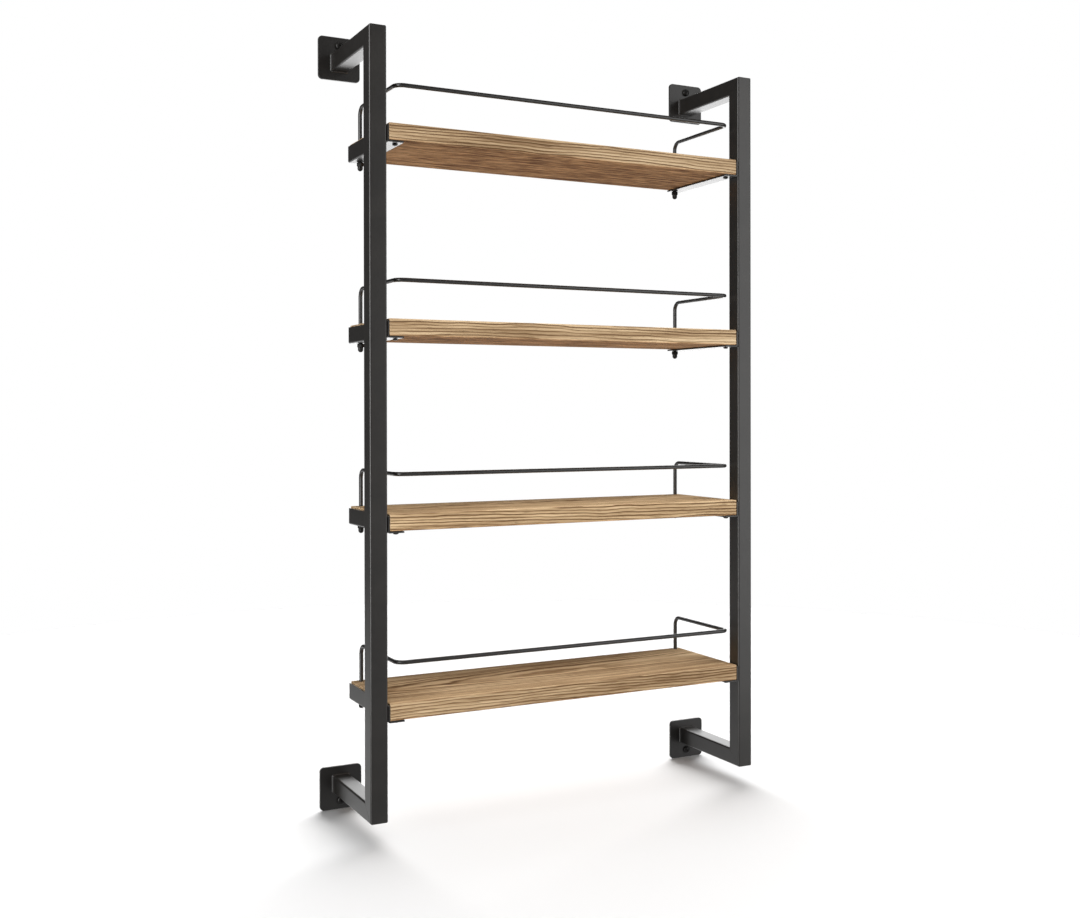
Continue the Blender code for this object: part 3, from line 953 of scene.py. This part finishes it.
def build_shelf(shelf, seed, tint, paint, wire, screw, nut):
    """One board with its guard rail, and its brackets, nuts, screws and welds at both ends."""
    board_node = f"{shelf}_shelf_board"
    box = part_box(board_node)
    centre = (box[0] + box[1]) / 2
    holes = []
    for side in SIDES:
        post, pin = middle(f"{shelf}_shelf_{side}_cap_nut"), middle(f"{shelf}_shelf_{side}_screw")
        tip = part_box(f"{shelf}_shelf_{side}_screw")[1].z
        drop = box[0].z - centre.z - HOLE_OVERRUN
        holes.append((post.x, post.y - centre.y, drop, -drop, POST_HOLE))
        holes.append((pin.x, pin.y - centre.y, drop, tip - centre.z, SCREW_HOLE))
    wood = board_wood(f"{shelf}_shelf_wood", seed, tint)
    mesh = board(board_node, box, seed, holes, wood)
    add_piece(f"{board_node}_planed", mesh, board_node, centre, flat=True)

    rail_node = f"{shelf}_shelf_guard_rail"
    rail = guard_rail(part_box(rail_node), box[0].z, wire)
    add_piece(f"{rail_node}_wire", rail, rail_node)

    for side, x_sign in SIDES.items():
        name = f"{shelf}_shelf_{side}"
        post, pin = middle(f"{name}_cap_nut"), middle(f"{name}_screw")
        bracket_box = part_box(f"{name}_bracket")
        bracket = angle_bracket(name, bracket_box, x_sign,
                                [(post.x, post.y, THREAD_HOLE), (pin.x, pin.y, SCREW_HOLE)], paint)
        add_piece(f"{name}_angle", bracket, f"{name}_bracket", flat=True)
        add_piece(f"{name}_acorn_nut", nut, f"{name}_cap_nut",
                  (post.x, post.y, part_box(f"{name}_cap_nut")[1].z))
        add_piece(f"{name}_pan_screw", screw, f"{name}_screw",
                  (pin.x, pin.y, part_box(f"{name}_screw")[0].z + SHELF_SCREW[1]))
        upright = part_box(f"{side}_upright")
        inner = upright[1].x if x_sign < 0 else upright[0].x
        seam_x = inner + x_sign * BRACKET_WELD_SINK * BRACKET_WELD
        seam_y = upright[1].y + BRACKET_WELD_BACK * BRACKET_WELD
        rod = weld_rod(Vector((seam_x, seam_y, bracket_box[0].z + BRACKET_WELD_INSET)),
                       Vector((seam_x, seam_y, bracket_box[1].z - BRACKET_WELD_INSET)),
                       BRACKET_WELD)
        add_piece(f"{name}_bracket_weld", to_mesh("bracket_weld", rod, paint, WELD_SHARP_ANGLE))


# ----------------------------------------------------------- stage and light

def group(name, members):
    """A collection for light linking."""
    made = bpy.data.collections.new(name)
    for member in members:
        made.objects.link(member)
    return made


def build_floor(z):
    """A pale disc that shows shadows but throws no light back on the object."""
    bm = bmesh.new()
    bmesh.ops.create_circle(bm, cap_ends=True, segments=FLOOR_SIDES, radius=FLOOR_RADIUS)
    floor = link("studio_floor", to_mesh("studio_floor", bm))
    floor.location = (0, 0, z)
    floor.visible_diffuse = False
    floor.visible_glossy = False
    material, _, shader = new_material("pale_floor")
    shader.inputs["Base Color"].default_value = FLOOR_COLOUR
    shader.inputs["Roughness"].default_value = FLOOR_ROUGHNESS
    floor.data.materials.append(material)
    floor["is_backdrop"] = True
    return floor


def add_light(name, kind, place, energy, size, receivers):
    """A light aimed at the rack that lights one collection."""
    data = bpy.data.lights.new(name, kind)
    data.energy = energy
    if kind == "AREA":
        data.shape = "RECTANGLE"
        data.size, data.size_y = size
    else:
        data.angle = math.radians(size)
    light = link(name, data)
    light.location = place
    aim = Vector(LIGHT_AIM) - Vector(place)
    light.rotation_euler = aim.to_track_quat("-Z", "Y").to_euler()
    light.visible_camera = False
    light.light_linking.receiver_collection = receivers
    return light


def build_world():
    """White behind the object. For light and reflections: a dark room above a pale ground."""
    world = bpy.data.worlds.new("studio")
    bpy.context.scene.world = world
    world.use_nodes = True
    tree = world.node_tree
    direction = add_node(tree, "TexCoord").outputs["Generated"]
    axes = add_node(tree, "SeparateXYZ", {"Vector": direction})
    room = tree.nodes["Background"]
    room.inputs["Color"].default_value = WHITE
    ground = between(tree, axes.outputs["Y"], FRONT_GROUND, BACK_GROUND, *FRONT_TO_BACK)
    strength = between(tree, axes.outputs["Z"], ROOM_LIGHT, ground, GROUND_FROM, GROUND_FULL)
    tree.links.new(strength, room.inputs["Strength"])
    white = add_node(tree, "Background", {"Color": WHITE, "Strength": 1.0})
    path = add_node(tree, "LightPath")
    both = add_node(tree, "MixShader", {0: path.outputs["Is Camera Ray"],
                                        1: room.outputs[0], 2: white.outputs[0]})
    tree.links.new(both.outputs[0], tree.nodes["World Output"].inputs["Surface"])


def build_lights(floor):
    """Softboxes round the object, and lights of the floor's own."""
    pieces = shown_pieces()
    metal = [piece for piece in pieces if "board" not in piece.name]
    frames = [piece for piece in pieces if "shelf" not in piece.name]
    lit = {"rack": group("lit_rack", pieces), "metal": group("lit_metal", metal)}
    for name, kind, place, energy, size, receivers in RACK_LIGHTS:
        light = add_light(name, kind, place, energy, size, lit[receivers])
        light.visible_glossy = kind == "AREA"
    ground = group("lit_floor", [floor])
    key = add_light("floor_key", "SUN", *FLOOR_KEY, ground)
    key.light_linking.blocker_collection = group("shadow_frames", frames)
    fill = add_light("floor_fill", "SUN", *FLOOR_FILL, ground)
    fill.data.use_shadow = False


def build_camera():
    """The camera that was fitted to the photo's straight edges."""
    data = bpy.data.cameras.new("photo_camera")
    data.lens = CAMERA_LENS
    data.sensor_width = CAMERA_SENSOR
    data.shift_y = CAMERA_SHIFT_Y
    camera = link("photo_camera", data)
    camera.location = CAMERA_AT
    camera.rotation_euler = [math.radians(angle) for angle in CAMERA_TURN]
    bpy.context.scene.camera = camera


bpy.context.scene.view_settings.view_transform = "Standard"
build_camera()
build_world()
studio_floor = build_floor(cad_box[0].z - FLOOR_DROP)

frame_paint = black_coat("frame_coat", FRAME_COAT, STEEL_EDGE_HIGHLIGHT,
                         Coat_Weight=1.0, Coat_Roughness=0.3)
# painted shade: the plates get a darker copy of the frame's coat with a weaker coat layer
plate_shaded_paint = black_coat("plate_shaded_coat", PLATE_SHADED_COAT, STEEL_EDGE_HIGHLIGHT,
                         Coat_Weight=0.75, Coat_Roughness=0.3)
rail_paint = black_coat("wire_coat", WIRE_COAT, Coat_Weight=1.0, Coat_Roughness=0.25)
fastener_coat = black_coat("fastener_coat", FASTENER_COAT, Metallic=0.4)

build_side_frames(frame_paint, plate_shaded_paint)
build_wall_screws(fastener_coat)
screw_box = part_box("top_shelf_left_screw")
shelf_screw = pan_head_screw("shelf_screw", SHELF_SCREW,
                             screw_box[1].z - screw_box[0].z - SHELF_SCREW[1], fastener_coat)
nut_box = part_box("top_shelf_left_cap_nut")
shelf_nut = cap_nut(nut_box[1].z - nut_box[0].z, fastener_coat)
for number, shelf_name in enumerate(SHELVES):
    build_shelf(shelf_name, number + 1, TINTS[shelf_name], frame_paint, rail_paint, shelf_screw,
                shelf_nut)

build_lights(studio_floor)
